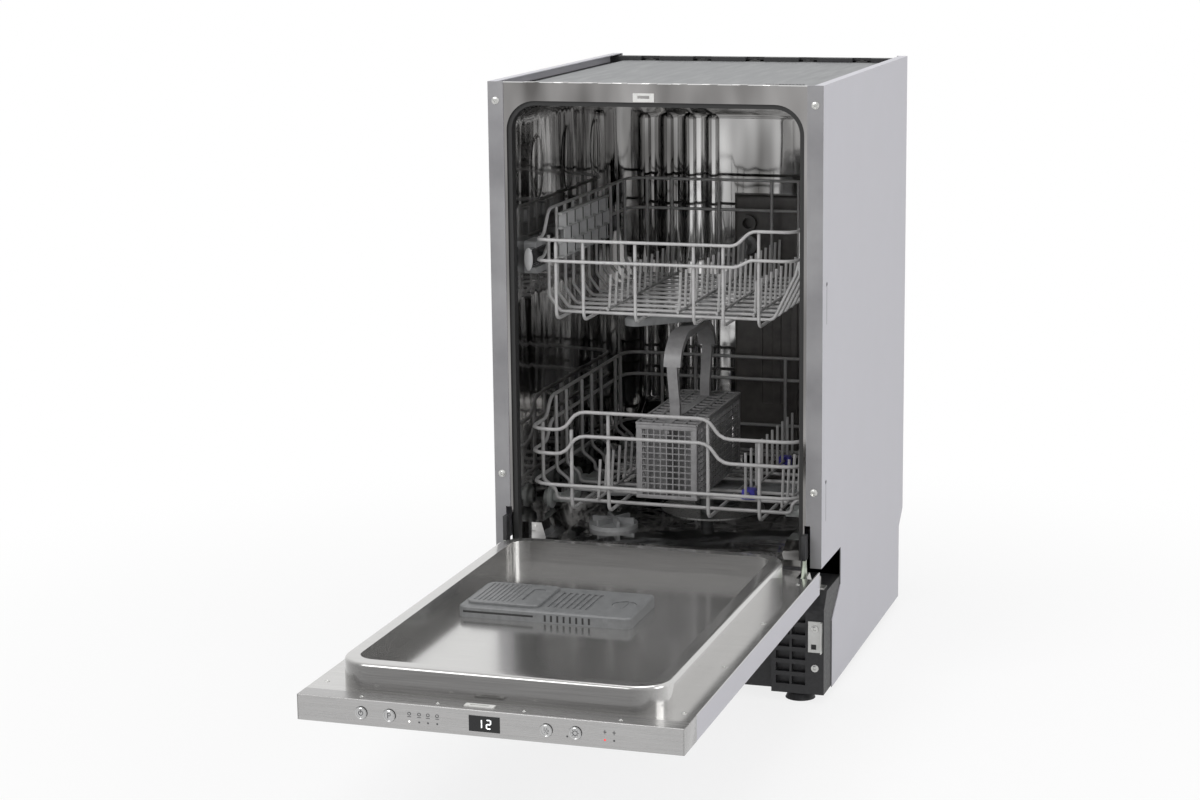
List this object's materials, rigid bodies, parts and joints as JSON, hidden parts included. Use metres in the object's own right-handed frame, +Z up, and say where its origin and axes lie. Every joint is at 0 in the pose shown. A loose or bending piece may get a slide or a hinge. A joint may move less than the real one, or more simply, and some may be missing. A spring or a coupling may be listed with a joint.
{
  "type": "built-in dishwasher",
  "caption": "Slim built-in dishwasher with a drop-down door, wire dish baskets on wheels and rails, spray arms, cutlery basket and a control strip on the door edge.",
  "frame": {"origin": "floor level at the middle of the footprint of the machine with its door open; the front plane of the cabinet is at y = 0.0513 m", "axes": "+X to the viewer's right, +Y into the machine, +Z up"},
  "size_m": [0.448, 1.2026, 0.815],
  "materials": {
    "panel": "satin galvanised sheet",
    "tub_steel": "polished stainless sheet",
    "liner_steel": "brushed stainless sheet",
    "skin_steel": "satin sheet",
    "fascia_steel": "fine brushed sheet",
    "seal_rubber": "matt",
    "cover_sheet": "matt",
    "black_plastic": "matt moulded",
    "zinc": "zinc plated",
    "grey_plastic": "matt moulded",
    "pale_plastic": "satin moulded",
    "duct_plastic": "satin moulded",
    "white_plastic": "gloss moulded",
    "display": "gloss",
    "button_chrome": "plated",
    "wire_lower": "nylon coated wire",
    "wire_upper": "nylon coated wire",
    "clip_blue": "satin moulded",
    "wheel_plastic": "satin moulded",
    "rail_chrome": "polished",
    "shelf_plastic": "translucent moulded",
    "filter_steel": "perforated stainless"
  },
  "bodies": {
    "cabinet": {"left_side_panel": "panel", "right_side_panel": "panel", "tub_wrapper": "tub_steel", "tub_rear_wall": "tub_steel", "tub_floor": "tub_steel", "door_gasket": "seal_rubber", "top_cover": "cover_sheet", "rear_top_rail": "black_plastic", "back_panel": "panel", "base_tray": "black_plastic", "base_brackets": "zinc", "hinge_brackets": "zinc", "sump": "grey_plastic", "filter_plate": "filter_steel", "inlet_valve": "white_plastic", "spray_feed_duct": "duct_plastic", "latch_striker": "white_plastic", "rail_guides": "pale_plastic"},
    "foot_left": {"front_foot_left": "black_plastic"},
    "foot_right": {"front_foot_right": "black_plastic"},
    "foot_rear": {"rear_foot": "black_plastic"},
    "filter": {"filter_cup": "grey_plastic"},
    "salt": {"salt_cap": "pale_plastic"},
    "lower_arm": {"lower_spray_arm": "grey_plastic"},
    "door": {"hinge_levers": "zinc", "door_outer_skin": "skin_steel", "door_liner": "liner_steel", "control_fascia": "fascia_steel", "display_window": "display", "door_latch": "white_plastic", "dispenser_body": "grey_plastic"},
    "soap_lid": {"dispenser_lid": "grey_plastic"},
    "rinse_cap": {"rinse_aid_cap": "grey_plastic"},
    "power": {"power_button": "button_chrome"},
    "program": {"program_button": "button_chrome"},
    "half_load": {"half_load_button": "button_chrome"},
    "start": {"start_button": "button_chrome"},
    "lower_basket": {"lower_basket_rims": "wire_lower", "lower_basket_wires": "wire_lower", "lower_tines": "wire_lower", "tine_clips": "clip_blue", "wheel_axles": "wheel_plastic", "cutlery_basket": "grey_plastic", "cutlery_handle": "pale_plastic"},
    "fold_row": {"folding_tines": "wire_lower"},
    "wheel_pair_1": {"wheels_1": "wheel_plastic"},
    "wheel_pair_2": {"wheels_2": "wheel_plastic"},
    "wheel_pair_3": {"wheels_3": "wheel_plastic"},
    "wheel_pair_4": {"wheels_4": "wheel_plastic"},
    "flap_left": {"cutlery_flap_left": "grey_plastic"},
    "flap_right": {"cutlery_flap_right": "grey_plastic"},
    "upper_basket": {"upper_basket_rims": "wire_upper", "upper_basket_wires": "wire_upper", "upper_tines": "wire_upper", "upper_feed_pipe": "pale_plastic", "basket_rollers": "pale_plastic"},
    "shelf": {"cup_shelf": "shelf_plastic"},
    "upper_arm": {"upper_spray_arm": "pale_plastic"},
    "rails": {"upper_rails": "rail_chrome", "rail_end_caps": "pale_plastic"}
  },
  "joints": [
    {"name": "door_hinge", "type": "hinge", "parent": "cabinet", "child": "door", "pos_m": [0, 0.0373, 0.175], "axis": [-1, 0, 0], "range_deg": [0, 90]},
    {"name": "lower_basket_slide", "type": "slide", "parent": "cabinet", "child": "lower_basket", "axis": [0, 1, 0], "range_m": [-0.45, 0]},
    {"name": "upper_basket_slide", "type": "slide", "parent": "cabinet", "child": "upper_basket", "axis": [0, 1, 0], "range_m": [-0.225, 0]},
    {"name": "upper_rail_slide", "type": "slide", "parent": "cabinet", "child": "rails", "axis": [0, 1, 0], "range_m": [-0.21, 0]},
    {"name": "wheel_roll_1", "type": "hinge", "parent": "lower_basket", "child": "wheel_pair_1", "pos_m": [0, 0.1633, 0.2346], "axis": [1, 0, 0], "continuous": true},
    {"name": "wheel_roll_2", "type": "hinge", "parent": "lower_basket", "child": "wheel_pair_2", "pos_m": [0, 0.2783, 0.2346], "axis": [1, 0, 0], "continuous": true},
    {"name": "wheel_roll_3", "type": "hinge", "parent": "lower_basket", "child": "wheel_pair_3", "pos_m": [0, 0.4373, 0.2346], "axis": [1, 0, 0], "continuous": true},
    {"name": "wheel_roll_4", "type": "hinge", "parent": "lower_basket", "child": "wheel_pair_4", "pos_m": [0, 0.5173, 0.2346], "axis": [1, 0, 0], "continuous": true},
    {"name": "lower_arm_spin", "type": "hinge", "parent": "cabinet", "child": "lower_arm", "pos_m": [0, 0.3093, 0.22], "axis": [0, 0, 1], "continuous": true},
    {"name": "upper_arm_spin", "type": "hinge", "parent": "upper_basket", "child": "upper_arm", "pos_m": [0, 0.3133, 0.468], "axis": [0, 0, 1], "continuous": true},
    {"name": "power_press", "type": "slide", "parent": "door", "child": "power", "axis": [0, 1, 0], "range_m": [0, 0.0015], "stiffness_N_per_m": 250},
    {"name": "program_press", "type": "slide", "parent": "door", "child": "program", "axis": [0, 1, 0], "range_m": [0, 0.0015], "stiffness_N_per_m": 250},
    {"name": "half_load_press", "type": "slide", "parent": "door", "child": "half_load", "axis": [0, 1, 0], "range_m": [0, 0.0015], "stiffness_N_per_m": 250},
    {"name": "start_press", "type": "slide", "parent": "door", "child": "start", "axis": [0, 1, 0], "range_m": [0, 0.0015], "stiffness_N_per_m": 250},
    {"name": "soap_lid_slide", "type": "slide", "parent": "door", "child": "soap_lid", "axis": [1, 0, 0], "range_m": [0, 0.072]},
    {"name": "rinse_cap_turn", "type": "hinge", "parent": "door", "child": "rinse_cap", "pos_m": [0.041, -0.2217, 0.2], "axis": [0, 0, 1], "range_deg": [0, 90]},
    {"name": "flap_left_lift", "type": "hinge", "parent": "lower_basket", "child": "flap_left", "pos_m": [-0.058, 0.2713, 0.345], "axis": [0, -1, 0], "range_deg": [0, 100]},
    {"name": "flap_right_lift", "type": "hinge", "parent": "lower_basket", "child": "flap_right", "pos_m": [0.028, 0.2713, 0.345], "axis": [0, 1, 0], "range_deg": [0, 100]},
    {"name": "fold_row_tilt", "type": "hinge", "parent": "lower_basket", "child": "fold_row", "pos_m": [0.092, 0.3013, 0.2506], "axis": [0, -1, 0], "range_deg": [0, 85]},
    {"name": "shelf_fold", "type": "hinge", "parent": "upper_basket", "child": "shelf", "pos_m": [-0.169, 0.2753, 0.566], "axis": [0, 1, 0], "range_deg": [0, 85]},
    {"name": "filter_turn", "type": "hinge", "parent": "cabinet", "child": "filter", "pos_m": [0, 0.3673, 0.19], "axis": [0, 0, 1], "range_deg": [0, 90]},
    {"name": "salt_cap_turn", "type": "hinge", "parent": "cabinet", "child": "salt", "pos_m": [-0.105, 0.2013, 0.19], "axis": [0, 0, 1], "range_deg": [0, 350]},
    {"name": "foot_left_screw", "type": "slide", "parent": "cabinet", "child": "foot_left", "axis": [0, 0, -1], "range_m": [0, 0.05]},
    {"name": "foot_right_screw", "type": "slide", "parent": "cabinet", "child": "foot_right", "axis": [0, 0, -1], "range_m": [0, 0.05]},
    {"name": "foot_rear_screw", "type": "slide", "parent": "cabinet", "child": "foot_rear", "axis": [0, 0, -1], "range_m": [0, 0.05]}
  ],
  "couplings": [
    {"joint": "upper_rail_slide", "follows": "upper_basket_slide", "ratio": 0.9},
    {"joint": "wheel_roll_1", "follows": "lower_basket_slide", "rad_per_m": -61.728},
    {"joint": "wheel_roll_2", "follows": "lower_basket_slide", "rad_per_m": -61.728},
    {"joint": "wheel_roll_3", "follows": "lower_basket_slide", "rad_per_m": -61.728},
    {"joint": "wheel_roll_4", "follows": "lower_basket_slide", "rad_per_m": -61.728}
  ]
}
